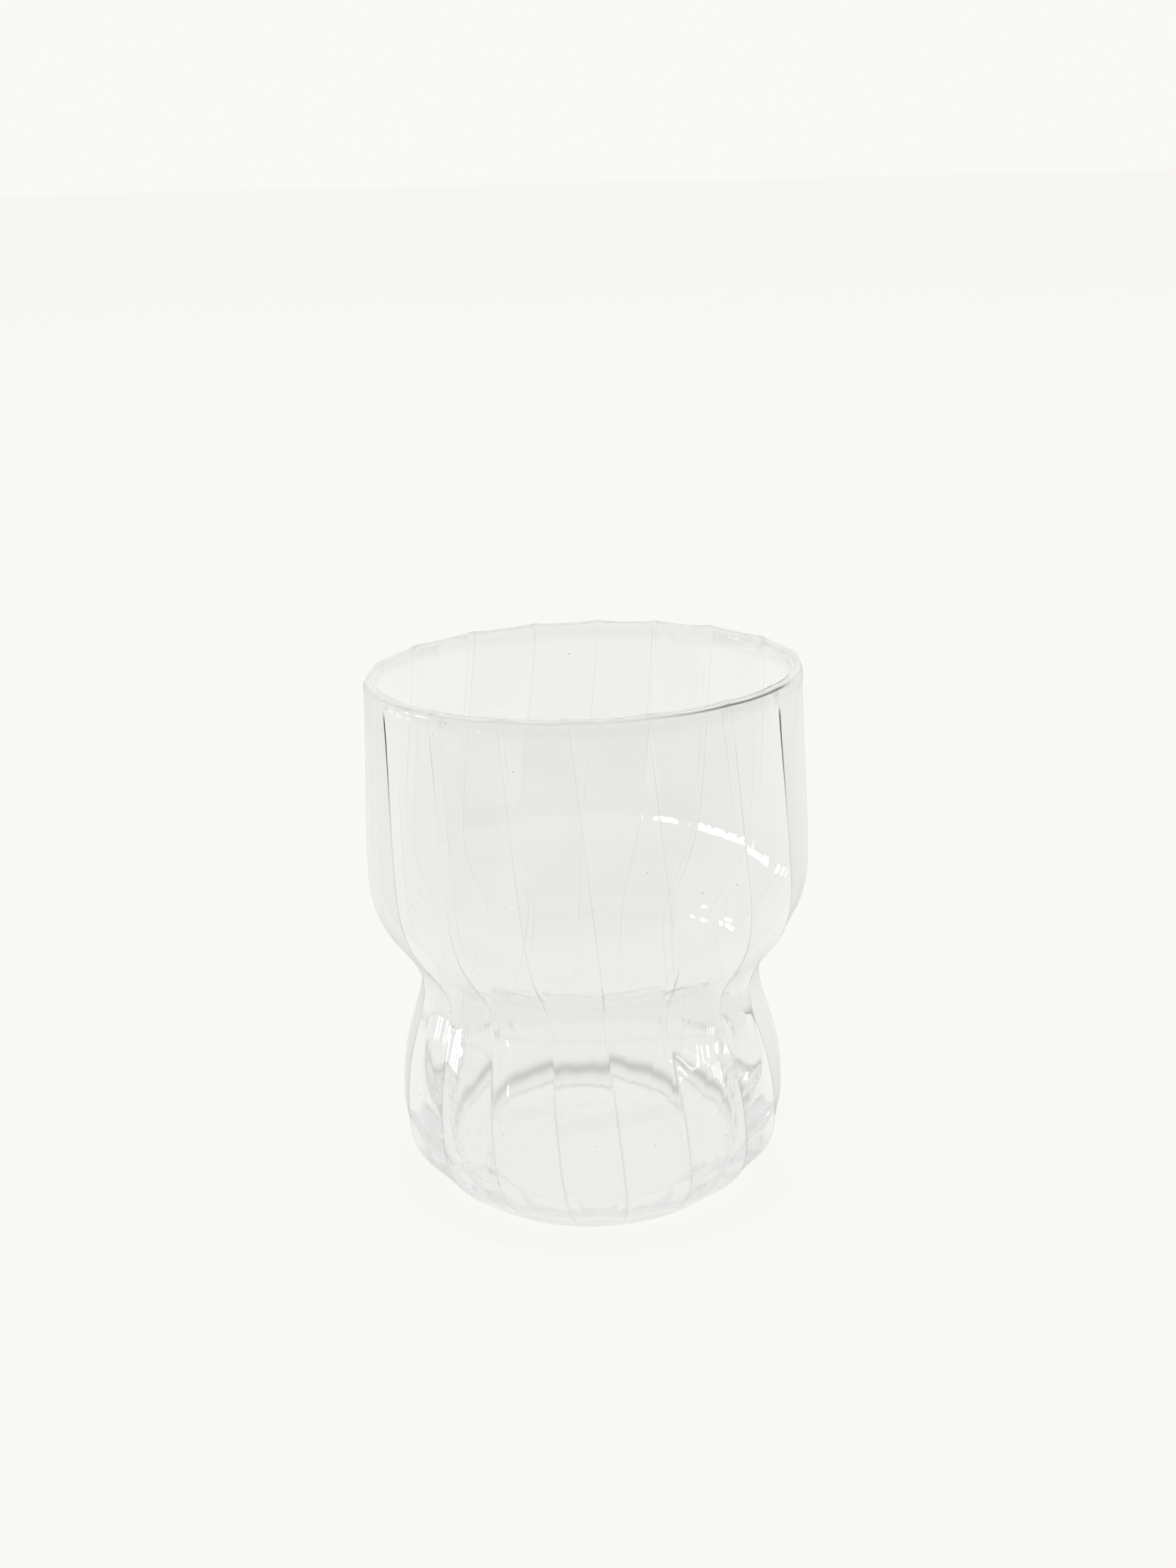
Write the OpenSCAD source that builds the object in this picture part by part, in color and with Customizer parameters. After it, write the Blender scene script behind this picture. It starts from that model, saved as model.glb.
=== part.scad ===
// Juice glass of clear blown glass: a wide bowl, a drawn-in waist and a round bulb on a small flat base.
// Sharp ridges run from the lip to the base all the way round, leaning like a slow screw, with nearly flat
// panels between them. The inside of the bowl follows them more softly. The wall is thin at the lip and grows
// heavier towards the base, as in blown glass. Millimetres, +Z up, origin under the middle of the base.

/* [Overall] */
// Height from the surface that the glass stands on to the top of the lip
height = 98; // [90:1:125]

/* [Bowl] */
// Diameter over the ridges where the bowl is widest
bowl_d = 80; // [72:0.5:90]
// Height of that widest place
bowl_z = 63; // [58:0.5:70]
// How full the shoulder is between the widest place and the waist
bowl_run = 15; // [8:0.5:18]

/* [Waist] */
// Diameter over the ridges where the waist is narrowest
waist_d = 62.5; // [54:0.5:68]
// Height of that narrowest place
waist_z = 40; // [36:0.5:45]
// How gently the waist turns out to the bowl above it
waist_run_up = 8; // [4:0.5:12]
// How gently the waist turns out to the bulb below it
waist_run_down = 5; // [3:0.5:9]
// How far the waist reaches above its narrowest place, where it meets the bowl
waist_above = 10; // [6:0.5:14]
// How far the waist reaches below its narrowest place, where it meets the bulb
waist_below = 9; // [6:0.5:14]

/* [Bulb] */
// Diameter over the ridges where the bulb is widest
bulb_d = 71; // [64:0.5:80]
// Height of that widest place
bulb_z = 17; // [14:0.5:20]
// How full the bulb is between its widest place and the waist
bulb_run = 12.5; // [6:0.5:14]
// How quickly the heel of the bulb rounds up from the base
heel_power = 2.6; // [2:0.1:3.4]

/* [Base] */
// Diameter of the base where it meets the surface
foot_d = 48; // [40:0.5:56]
// Height of the solid disc of the base
foot_h = 2; // [1.5:0.1:3]
// Diameter of the shallow hollow under the base
punt_d = 32; // [20:0.5:38]
// Depth of that hollow
punt_depth = 0.5; // [0.3:0.1:1.4]

/* [Wall] */
// Thickness of the wall in the middle of a panel of the bowl
wall = 1.7; // [1.4:0.1:2.8]
// How much thicker the wall is at the waist
waist_gain = 0.85; // [0:0.05:1.4]
// How far above the narrowest place of the waist it starts to grow thicker
gain_above = 16; // [10:0.5:20]
// How much thicker again it is at the floor
heel_gain = 0.5; // [0:0.1:1]
// Height of the inside floor above the surface
floor_z = 4.5; // [3.6:0.1:8]
// Diameter of the flat part of the inside floor
floor_d = 42; // [30:0.5:48]
// How quickly the inside rounds up from the floor
floor_power = 4; // [3:0.1:5]

/* [Flutes] */
// Number of ridges round the glass
flute_count = 18; // [12:1:24]
// Depth of a panel below the ridges beside it
flute_depth = 0.7; // [0.2:0.05:1.2]
// How flat the panels are: 2 is an even hollow, and more is flatter with steeper sides to the ridges
flute_power = 2.6; // [1.6:0.1:4]
// Share of that depth by which the inside of the bowl follows the ridges
inner_share = 0.6; // [0:0.05:0.8]
// Degrees that a ridge turns on its way down from the lip to the surface
flute_lean = 14.7; // [-24:0.1:24]
// Degrees from the front to the nearest ridge at the lip
flute_phase = -2; // [-15:0.5:15]
// Height over which the ridges die away into the base
flute_fade = 6; // [3:0.5:10]

/* [Rim] */
// Diameter over the ridges at the lip
rim_d = 78; // [70:0.5:90]
// Height of the rim, from the bowl to the top of the lip
rim_h = 5; // [3:0.5:8]
// Height of the rounded part of the lip
lip_h = 1.6; // [1:0.1:2.4]
// How much lower the lip is in the middle of a panel than on a ridge
lip_wave = 0.2; // [0:0.05:0.4]

/* [Hidden] */
glass_tint = [0.86, 0.92, 0.9, 0.55];

// Radii and heights that the zones share
bowl_r = bowl_d / 2;
waist_r = waist_d / 2;
bulb_r = bulb_d / 2;
foot_r = foot_d / 2;
rim_r = rim_d / 2;
waist_low = waist_z - waist_below;
waist_high = waist_z + waist_above;
rim_z = height - rim_h;
lip_z = height - lip_h;

// Points from one ridge to the next, and round the whole glass
flute_steps = 6;
around = flute_count * flute_steps;

// Half the span over which the slope of the outline is measured, and halvings when a height is looked up
slope_span = 0.01;
halvings = 30;

// Outline of the glass

// Height along a curve that leaves z0 and reaches z1 straight up, held upright for run0 and run1
function curve_z(t, z0, z1, run0, run1) =
    z0 + 3 * pow(1 - t, 2) * t * run0 + 3 * (1 - t) * t * t * (z1 - z0 - run1) + pow(t, 3) * (z1 - z0);

// Place on that curve, from 0 to 1, that has height z
function curve_t(z, z0, z1, run0, run1, low = 0, high = 1, left = halvings) =
    let (mid = (low + high) / 2)
    left == 0 ? mid
    : curve_z(mid, z0, z1, run0, run1) < z ? curve_t(z, z0, z1, run0, run1, mid, high, left - 1)
    : curve_t(z, z0, z1, run0, run1, low, mid, left - 1);

// Radius at height z on such a curve from radius r0 to radius r1
function curve_r(z, z0, z1, run0, run1, r0, r1) =
    let (t = curve_t(z, z0, z1, run0, run1))
    r0 + (r1 - r0) * t * t * (3 - 2 * t);

// Radius at height z of a heel that rounds up from r0 at z0 to stand upright with radius r1 at z1
function heel_r(z, z0, z1, r0, r1, power) =
    r1 - (r1 - r0) * pow(1 - (z - z0) / (z1 - z0), power);

// Radius over the ridges at height z
function outer_r(z) =
    z < bulb_z ? heel_r(z, 0, bulb_z, foot_r, bulb_r, heel_power)
    : z < waist_z ? curve_r(z, bulb_z, waist_z, bulb_run, waist_run_down, bulb_r, waist_r)
    : z < bowl_z ? curve_r(z, waist_z, bowl_z, waist_run_up, bowl_run, waist_r, bowl_r)
    : curve_r(z, bowl_z, lip_z, (lip_z - bowl_z) / 3, (lip_z - bowl_z) / 3, bowl_r, rim_r);

// Change of that radius with height
function outer_slope(z) = (outer_r(z + slope_span) - outer_r(z - slope_span)) / (2 * slope_span);

// Smooth rise from 0 at a to 1 at b, level beyond both ends
function ease(z, a, b) =
    let (t = max(0, min(1, (z - a) / (b - a))))
    t * t * (3 - 2 * t);

// Thickness of the wall at height z, which grows from the bowl down to the waist, and on to the floor
function wall_at(z) =
    wall + waist_gain * ease(z, waist_z + gain_above, waist_z) + heel_gain * ease(z, waist_z, floor_z);

// Radius of the inside of the panels at height z, one wall in from the outside measured square to the wall
function inner_r(z) =
    z < bulb_z ? heel_r(z, floor_z, bulb_z, floor_d / 2, bulb_r - flute_depth - wall_at(bulb_z), floor_power)
    : outer_r(z) - flute_depth - wall_at(z) * sqrt(1 + pow(outer_slope(z), 2));

// Depth of the flutes at height z, which die away into the base
function depth_at(z) = flute_depth * ease(z, foot_h, foot_h + flute_fade);

// Depth of their softer copies inside the bowl, which die away through the waist
function inner_depth_at(z) = inner_share * flute_depth * ease(z, waist_low, waist_high);

// Rings of points and the skins between them

// How far point k of a ring lies below the ridges, from 0 on a ridge to 1 in the middle of a panel
function dip(k) = 1 - pow(abs(1 - 2 * (k % flute_steps) / flute_steps), flute_power);

// Turn of point k at height z, which carries the lean of the ridges
function turn(k, z) = 360 * k / around + flute_phase + flute_lean * (height - z) / height;

// Ring of radius r over the ridges at height z, with panels sunk by depth and lowered by drop
function ring(r, z, depth = 0, drop = 0) =
    [for (k = [0 : around - 1])
        let (point_r = r - depth * dip(k), a = turn(k, z))
        [point_r * sin(a), -point_r * cos(a), z - drop * dip(k)]];

function outer_ring(z) = ring(outer_r(z), z, depth_at(z));
function inner_ring(z) = ring(inner_r(z) + inner_depth_at(z), z, inner_depth_at(z));

// Heights from z0 to z1 in a number of steps, closer together near z0 as power rises above 1
function heights(z0, z1, steps, power = 1) =
    [for (i = [0 : steps]) z0 + (z1 - z0) * pow(i / steps, power)];

// The same heights with the first one left out, to carry on from an earlier list
function more_heights(z0, z1, steps) = [for (i = [1 : steps]) z0 + (z1 - z0) * i / steps];

function reversed(list) = [for (i = [len(list) - 1 : -1 : 0]) list[i]];

function flat(lists) = [for (list = lists) each list];

// Triangles between ring i and ring j of a list of rings
function band(i, j) =
    [for (k = [0 : around - 1])
        let (a = i * around + k, b = i * around + (k + 1) % around)
        let (c = j * around + k, d = j * around + (k + 1) % around)
        each [[a, d, b], [a, c, d]]];

// Closed skin over rings that run up the outside and down the inside, and meet again
module closed_wall(rings) {
    count = len(rings);
    polyhedron(points = flat(rings), faces = flat([for (i = [0 : count - 1]) band(i, (i + 1) % count)]));
}

// Closed skin over rings that run from the middle of the underside to the middle of the floor
module closed_cup(rings, under_z, top_z) {
    count = len(rings);
    under = count * around;
    top = under + 1;
    last = (count - 1) * around;
    walls = flat([for (i = [0 : count - 2]) band(i, i + 1)]);
    underside = [for (k = [0 : around - 1]) [under, k, (k + 1) % around]];
    floor_fan = [for (k = [0 : around - 1]) [last + k, top, last + (k + 1) % around]];
    polyhedron(
        points = concat(flat(rings), [[0, 0, under_z], [0, 0, top_z]]),
        faces = concat(walls, underside, floor_fan));
}

// Wall through a list of heights, with sharp flutes outside and soft ones inside
module fluted_wall(rise) {
    outside = [for (z = rise) outer_ring(z)];
    inside = [for (z = reversed(rise)) inner_ring(z)];
    closed_wall(concat(outside, inside));
}

// The zones of the glass, from the bottom up

// Solid foot disc, with a flat ring to stand on and a shallow hollow inside it
module base() {
    side_steps = 4;
    punt_steps = 6;
    punt_r = punt_d / 2;
    side = [for (z = heights(0, foot_h, side_steps)) [outer_r(z), z]];
    hollow = [for (i = [0 : punt_steps])
        let (share = i / punt_steps)
        [punt_r * share, punt_depth * (1 - share * share)]];
    color(glass_tint)
        rotate_extrude($fn = 120)
            polygon(concat(side, [[0, foot_h]], hollow));
}

// Lower chamber with the floor, from the foot disc to the waist
module bulb() {
    heel_rows = 8;
    shoulder_rows = 4;
    heel_gather = 1.2;
    floor_rows = 6;
    floor_gather = 2;
    outer_heights = concat(
        heights(foot_h, bulb_z, heel_rows, heel_gather),
        more_heights(bulb_z, waist_low, shoulder_rows));
    inner_heights = concat(
        heights(floor_z, bulb_z, floor_rows, floor_gather),
        more_heights(bulb_z, waist_low, shoulder_rows));
    outside = [for (z = outer_heights) outer_ring(z)];
    inside = [for (z = reversed(inner_heights)) inner_ring(z)];
    color(glass_tint)
        closed_cup(concat(outside, inside), foot_h, floor_z);
}

// Drawn-in neck between the two chambers
module waist() {
    rows = 7;
    rise = heights(waist_low, waist_high, rows);
    color(glass_tint)
        fluted_wall(rise);
}

// Upper chamber, from the waist to the rim
module bowl() {
    shoulder_rows = 5;
    side_rows = 3;
    rise = concat(heights(waist_high, bowl_z, shoulder_rows), more_heights(bowl_z, rim_z, side_rows));
    color(glass_tint)
        fluted_wall(rise);
}

// Upper edge with its fire-polished, rounded lip
module rim() {
    lip_steps = 6;
    lip_out = outer_r(lip_z);
    lip_in = inner_r(lip_z) + inner_depth_at(lip_z);
    lip_mid = (lip_out + lip_in) / 2;
    lip_half = (lip_out - lip_in) / 2;
    lip = [for (i = [0 : lip_steps])
        let (a = 180 * i / lip_steps, inward = (1 - cos(a)) / 2)
        let (depth = flute_depth + (inner_depth_at(lip_z) - flute_depth) * inward)
        ring(lip_mid + lip_half * cos(a), lip_z + lip_h * sin(a), depth, lip_wave * sin(a))];
    color(glass_tint)
        closed_wall(concat([outer_ring(rim_z)], lip, [inner_ring(rim_z)]));
}

base();
bulb();
waist();
bowl();
rim();
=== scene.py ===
# %% [markdown]
# # A fluted juice glass
# The object is one piece of clear blown glass: a wide bowl, a drawn-in waist and a round bulb on a
# small flat base, with eighteen sharp ridges that lean like a slow screw. The imported part holds it as
# five zones that meet face to face. Here those zones become one unbroken skin, because light would
# show every hidden face between them. The imported part is loaded first, and its box is kept, because
# the glass takes its height from it.

# %% Load the imported part
from types import SimpleNamespace

import bpy
import numpy as np
from mathutils import Matrix, Vector


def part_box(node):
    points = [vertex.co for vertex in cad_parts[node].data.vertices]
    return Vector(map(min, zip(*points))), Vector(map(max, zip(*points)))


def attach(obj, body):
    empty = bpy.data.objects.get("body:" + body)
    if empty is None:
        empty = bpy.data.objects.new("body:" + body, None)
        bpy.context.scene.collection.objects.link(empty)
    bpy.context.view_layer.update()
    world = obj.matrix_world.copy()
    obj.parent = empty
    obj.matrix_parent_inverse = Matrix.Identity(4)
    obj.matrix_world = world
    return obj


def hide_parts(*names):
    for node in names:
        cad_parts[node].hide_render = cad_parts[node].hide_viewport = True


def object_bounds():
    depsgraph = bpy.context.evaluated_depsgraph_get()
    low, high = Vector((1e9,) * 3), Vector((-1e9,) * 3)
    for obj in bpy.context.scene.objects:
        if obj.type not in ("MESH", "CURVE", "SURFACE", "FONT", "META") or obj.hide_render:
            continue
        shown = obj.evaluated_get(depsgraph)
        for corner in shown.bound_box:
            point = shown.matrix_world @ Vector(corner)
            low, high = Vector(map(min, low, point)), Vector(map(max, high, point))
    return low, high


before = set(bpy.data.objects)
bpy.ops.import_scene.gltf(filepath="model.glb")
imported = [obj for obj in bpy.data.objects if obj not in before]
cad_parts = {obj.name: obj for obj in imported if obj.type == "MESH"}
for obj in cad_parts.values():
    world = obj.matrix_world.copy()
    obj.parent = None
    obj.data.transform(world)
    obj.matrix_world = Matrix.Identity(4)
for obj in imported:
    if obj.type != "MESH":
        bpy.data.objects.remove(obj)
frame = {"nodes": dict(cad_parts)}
cad_low, cad_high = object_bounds()
print("zones of the glass:", ", ".join(frame["nodes"]))

# %% [markdown]
# ## The outline
# A blown glass is round, so its outline is one curve: the radius at each height. It could be drawn as
# a spline by hand, but a few named sizes and a formula say more about the shape. Every stretch leaves
# and reaches its widest or narrowest place upright, which is what a cubic curve with upright handles
# does. Only the heel is different: it rounds up out of the foot, so a power describes it better.
# Sizes are in millimetres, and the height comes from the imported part.

# %% Outline over the ridges
MM = 0.001

height = cad_high.z / MM
lip_height = 1.6
lip_z = height - lip_height
rim_radius = 39.0
bowl_radius, bowl_z, bowl_run = 40.0, 63.0, 15.0
waist_radius, waist_z, waist_run_up, waist_run_down = 31.25, 40.0, 8.0, 5.0
bulb_radius, bulb_z, bulb_run = 35.5, 17.0, 12.5
foot_radius, heel_power = 24.0, 2.6
table_size = 4001


def upright_curve(z, low, high, run_low, run_high, r_low, r_high):
    """Radius at heights z on a curve from radius r_low at height low to r_high at height high.

    Height is a cubic curve of t, with one handle run_low above its low end and one run_high below its
    high end. Radius goes from r_low to r_high as t * t * (3 - 2 * t). The t of each height is looked up
    in a fine table.
    """
    t = np.linspace(0, 1, table_size)
    rise = high - low
    climb = 3 * (1 - t) ** 2 * t * run_low + 3 * (1 - t) * t**2 * (rise - run_high) + t**3 * rise
    share = np.interp(z, low + climb, t)
    return r_low + (r_high - r_low) * share**2 * (3 - 2 * share)


def heel_curve(z):
    """Radius of the heel, which rounds up from the foot to stand upright at the bulb: a gap to a power."""
    share = np.minimum(z / bulb_z, 1)
    return bulb_radius - (bulb_radius - foot_radius) * (1 - share) ** heel_power


def outer_radius(z):
    """Radius over the ridges at heights z: heel, bulb to waist, waist to bowl, bowl to lip."""
    third = (lip_z - bowl_z) / 3
    bulb = upright_curve(z, bulb_z, waist_z, bulb_run, waist_run_down, bulb_radius, waist_radius)
    shoulder = upright_curve(z, waist_z, bowl_z, waist_run_up, bowl_run, waist_radius, bowl_radius)
    side = upright_curve(z, bowl_z, lip_z, third, third, bowl_radius, rim_radius)
    return np.select([z < bulb_z, z < waist_z, z < bowl_z], [heel_curve(z), bulb, shoulder], side)


packed_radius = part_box("bowl")[1].y / MM
print(f"bowl radius {bowl_radius:.1f} mm here, {packed_radius:.1f} mm in the packed part")

# %% [markdown]
# ## The wall
# Glass shows its thickness, so the inside is a curve of its own and not a scaled copy of the outside.
# It lies one wall in from the panels, measured square to the outline. A Solidify modifier could give
# an even wall, but blown glass stretches less where the mould keeps it narrow, so the wall is a little
# thicker at the waist and the heel, and that is what folds the view there. Near the bottom the inside
# rounds off into a thin, slightly domed floor.

# %% Inside of the wall
wall, waist_gain, heel_gain = 1.7, 0.85, 0.5
gain_above = 16.0
flute_depth = 0.7
foot_fade = 4.0
floor_z, floor_round, floor_dome = 3.4, 1.4, 0.4
slope_step = 0.05


def smooth_share(t):
    """0 below t = 0 and 1 above t = 1, with a smooth rise between: t * t * (3 - 2 * t)."""
    t = np.clip(t, 0, 1)
    return t * t * (3 - 2 * t)


def wall_at(z):
    """Thickness of the wall at heights z: the plain wall, one gain down to the waist and one to the heel."""
    to_waist = smooth_share((waist_z + gain_above - z) / gain_above)
    to_heel = smooth_share((waist_z - z) / (waist_z - floor_z))
    return wall + waist_gain * to_waist + heel_gain * to_heel


def inside_line(z):
    """Radius and height of the inside, one wall in from the panel at heights z of the outline.

    The step goes square to the outline. A height near the floor is replaced by half the sum of its
    lift and the length of (lift, rounding), which never falls below the floor.
    """
    slope = (outer_radius(z + slope_step) - outer_radius(z - slope_step)) / (2 * slope_step)
    square = 1 / np.sqrt(1 + slope**2)
    radius = outer_radius(z) - flute_depth * smooth_share(z / foot_fade) - wall_at(z) * square
    lift = z + wall_at(z) * slope * square - floor_z
    return radius, floor_z + (lift + np.hypot(lift, floor_round)) / 2


edge_radius, edge_z = inside_line(np.array([0.0]))
print(f"floor {edge_z[0]:.1f} mm up at its edge, {edge_radius[0]:.1f} mm out")

# %% [markdown]
# ## The section
# Going once round the cut edge of the glass visits every surface: out under the base, up the outside,
# over the lip, down the inside and in over the floor. That loop of radius and height, turned about the
# axis, makes the whole closed skin. A Screw modifier could turn a drawn section too, but here each
# point of the loop also says how much of the outer flutes, the inner flutes, the lip's wave and the
# hand-made unevenness it takes, so each stretch of the loop is a function that gives the radius, the
# height and those four shares.
# The mould's flutes die away in the foot, and they get shallower at the waist, where the glass is
# thick, and at the lip, where the flame melts them down and gathers the edge into a fine bead.

# %% Shares of the flutes and the bead
lip_fade, lip_flutes = 12.0, 0.4
waist_fade, waist_flutes = 16.0, 0.55
bead, bead_spread = 0.12, 0.6


def near_lip(z):
    """Share of the flutes that is left at heights z, where the fire-polished lip melts them down."""
    return lip_flutes + (1 - lip_flutes) * smooth_share((height - z) / lip_fade)


def near_waist(z):
    """Share of the flutes that is left at heights z, where the drawn-in waist makes them shallow."""
    return waist_flutes + (1 - waist_flutes) * smooth_share(np.abs(z - waist_z) / waist_fade)


def lip_bead(z):
    """Swelling of the wall at heights z, where the polished lip gathers into a bead: a bell curve."""
    return bead * np.exp(-(((z - lip_z) / bead_spread) ** 2))


print(f"flutes keep {near_waist(waist_z):.0%} of their depth at the waist, {near_lip(height):.0%} at the lip")

# %% Underside and outside
punt_radius, punt_depth = 16.0, 0.5
sole_round = 0.4
axis_share, hollow_rows, ring_rows = 0.03, 9, 6
outer_hand = 0.4


def underside():
    """From the axis out to the foot: a hollow, height = depth * (1 - share ** 2), and a flat ring."""
    hollow_r = np.linspace(axis_share, 1, hollow_rows) * punt_radius
    hollow_z = punt_depth * (1 - (hollow_r / punt_radius) ** 2)
    ring_r = np.linspace(punt_radius, foot_radius, ring_rows)[1:-1]
    return np.concatenate([hollow_r, ring_r]), np.concatenate([hollow_z, 0 * ring_r]), 0, 0, 0, 0


def outside(rise):
    """Up the outline with its bead, and off the ground by a rounding: z * (1 - exp(-z / rounding))."""
    radius = outer_radius(rise) + lip_bead(rise)
    z = rise * (1 - np.exp(-rise / sole_round))
    flutes = smooth_share(rise / foot_fade) * near_waist(rise)
    return radius, z, flutes * near_lip(rise), 0, 0, outer_hand * flutes


print(f"flat ring from {punt_radius:.0f} to {foot_radius:.0f} mm out round a hollow {punt_depth} mm deep")

# %% Lip, inside and floor
lip_rows, floor_rows = 20, 8
follow_low, follow_high = 31.0, 53.0


def over_lip(out_r, in_r):
    """Over the lip from radius out_r to in_r: half an ellipse, with shares that change sides as it goes."""
    turn = np.linspace(0, np.pi, lip_rows + 2)[1:-1]
    over = (1 - np.cos(turn)) / 2
    z = lip_z + lip_height * np.sin(turn)
    flutes = near_lip(z)
    hand = outer_hand + (1 - outer_hand) * over
    return out_r + (in_r - out_r) * over, z, flutes * (1 - over), flutes * over, np.sin(turn), hand


def inside(rise):
    """Down the inside, which follows the flutes in the bowl alone: they fade in through the waist."""
    radius, z = inside_line(rise[::-1])
    above_floor = smooth_share((z - floor_z) / foot_fade)
    follow = smooth_share((z - follow_low) / (follow_high - follow_low))
    return radius - lip_bead(z), z, 0, above_floor * follow * near_lip(z), 0, above_floor


def over_floor(rim_r, rim_z):
    """From the floor's edge in to the axis, over a slight dome: height = dome * (1 - share ** 2)."""
    radius = np.linspace(1, axis_share, floor_rows)[1:] * rim_r
    return radius, rim_z + floor_dome * (1 - (radius / rim_r) ** 2), 0, 0, 0, 0


print(f"inside flutes fade in from {follow_low:.0f} to {follow_high:.0f} mm up")

# %% Loop from the middle of the underside to the middle of the floor
row_stops = [0, 3, bulb_z, 31, 53, 66, 88, lip_z]
row_counts = [6, 16, 12, 26, 9, 6, 8]


def section():
    """Radius, height and the shares of outer flutes, inner flutes, lip wave and unevenness of the loop.

    Rows are closest where the outline bends most, which row_stops and row_counts say.
    """
    spans = zip(row_stops[:-1], row_stops[1:], row_counts)
    steps = [np.linspace(low, high, count, endpoint=False) for low, high, count in spans]
    rise = np.concatenate(steps + [[lip_z]])
    outer, inner = outside(rise), inside(rise)
    lip, floor = over_lip(outer[0][-1], inner[0][0]), over_floor(inner[0][-1], inner[1][-1])
    stretches = [np.broadcast_arrays(*part) for part in (underside(), outer, lip, inner, floor)]
    return [np.concatenate(column) for column in zip(*stretches)]


loop_r, loop_z, loop_flute, loop_rib, loop_wave, loop_hand = section()
loop_length = np.concatenate([[0], np.cumsum(np.hypot(np.diff(loop_r), np.diff(loop_z)))])
print(f"section of {len(loop_r)} points, {loop_length[-1]:.0f} mm long, up to {loop_z.max():.1f} mm high")

# %% [markdown]
# ## The flutes
# Each flute is a nearly flat panel between two sharp ridges. Straight grooves could be cut with
# booleans, but these lean, follow the outline and die away into the base, so they are a second
# function on the same grid: the radius drops towards the middle of a panel by a power of the distance
# from its ridge, and the angle turns with height. The mould shapes the outside, and the inside of the
# bowl follows it more softly. The glass is hand blown, so its ridges wander by up to four degrees, its
# mouth is a little tilted and its wall is never quite even. Columns are gathered towards the ridges,
# because a sharp edge needs more of them than a flat panel does.

# %% Flutes round the glass
flute_count, flute_steps = 18, 24
flute_lean, flute_phase = 14.7, -2.0
flute_power = 2.6
ridge_round, ridge_gather = 0.016, 0.75
inner_depth, inner_round = 0.42, 0.07
lip_wave, lip_tilt = 0.3, 0.88
ridge_wander = [-2, -2, 0, -1, 0, 0, 0.5, 2, 0, -3, -4, -4, -3, -1, -2, 1, 0.5, 0.5]
hand_waves = [(0.04, 3, 19, 1.0), (0.025, 5, -13, 2.2), (0.012, 9, 8, 0.6)]


def flute_places():
    """Place of each column in flutes from the first ridge, gathered towards the ridges by a sine."""
    even = np.arange(flute_count * flute_steps + 1) / flute_steps
    return even - ridge_gather * np.sin(2 * np.pi * even) / (2 * np.pi)


def panel_dip(place, rounding):
    """0 on a ridge and 1 in the middle of a panel, flat there and steeper towards the ridge.

    Distance from the ridge, in flutes, is rounded off: the square root of the sum of its square and the
    rounding's square, less the rounding. As a share of its largest value, dip = 1 - (1 - share) ** power.
    """
    distance = np.abs((place + 0.5) % 1 - 0.5)
    share = (np.hypot(distance, rounding) - rounding) / (np.hypot(0.5, rounding) - rounding)
    return 1 - (1 - share) ** flute_power


def unevenness(angle, z):
    """Waves of a hand-blown wall: sines that go whole numbers of times round and climb with height."""
    return sum(size * np.sin(times * angle + z / climb + start) for size, times, climb, start in hand_waves)


def glass_points(place):
    """Grid of points, one row for each point of the section and one column for each place round it.

    Angle = place * one flute + phase + wander + lean with height. Radius = section radius, less the
    panel's dip outside, plus the softer ridge inside and the unevenness. Height = section height, less
    the lip's wave, plus a slight tilt of the mouth that fades in above the widest place.
    """
    wander = np.interp(place, np.arange(flute_count + 1), ridge_wander + ridge_wander[:1])
    around = place * 360 / flute_count + flute_phase + wander
    lean = flute_lean * (height - loop_z) / height
    angle = np.radians(around[None, :] + lean[:, None])
    dip, hollow = panel_dip(place, ridge_round), panel_dip(place, inner_round)
    radius = loop_r[:, None] - flute_depth * loop_flute[:, None] * dip
    radius = radius + inner_depth * loop_rib[:, None] * (1 - hollow)
    radius = radius + loop_hand[:, None] * unevenness(angle, loop_z[:, None])
    x, y = radius * np.sin(angle), -radius * np.cos(angle)
    tilt = np.tan(np.radians(lip_tilt)) * smooth_share((loop_z - bowl_z) / (height - bowl_z))
    z = loop_z[:, None] - lip_wave * loop_wave[:, None] * dip + tilt[:, None] * x
    return np.stack([x, y, z], axis=-1)


places = flute_places()
points = glass_points(places[:-1])
print(f"grid of {points.shape[0]} rows and {points.shape[1]} columns")

# %% [markdown]
# ## The skin
# The grid is closed into one mesh: neighbouring rows and columns make four-sided faces, the last
# column joins the first, and a fan of triangles closes each end on the axis. Whole arrays go into the
# mesh at once, which is much quicker than adding faces one by one. A UV map keeps the way round and
# the way along the section, both in millimetres, so that a finish can follow the leaning ridges.

# %% Faces and UV map of a closed grid


def skin_faces(rows, columns):
    """Corner indices of all faces, and how many sides each face has: quads, then the fan at each end."""
    index = np.arange(rows * columns).reshape(rows, columns)
    after = np.roll(index, -1, axis=1)
    quads = np.stack([index[:-1], after[:-1], after[1:], index[1:]], axis=-1)
    first, last = rows * columns, rows * columns + 1
    fan = np.stack([np.full(columns, first), after[0], index[0]], axis=-1)
    cap = np.stack([index[-1], after[-1], np.full(columns, last)], axis=-1)
    corners = np.concatenate([quads.ravel(), fan.ravel(), cap.ravel()])
    return corners, np.repeat([4, 3], [(rows - 1) * columns, 2 * columns])


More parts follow.
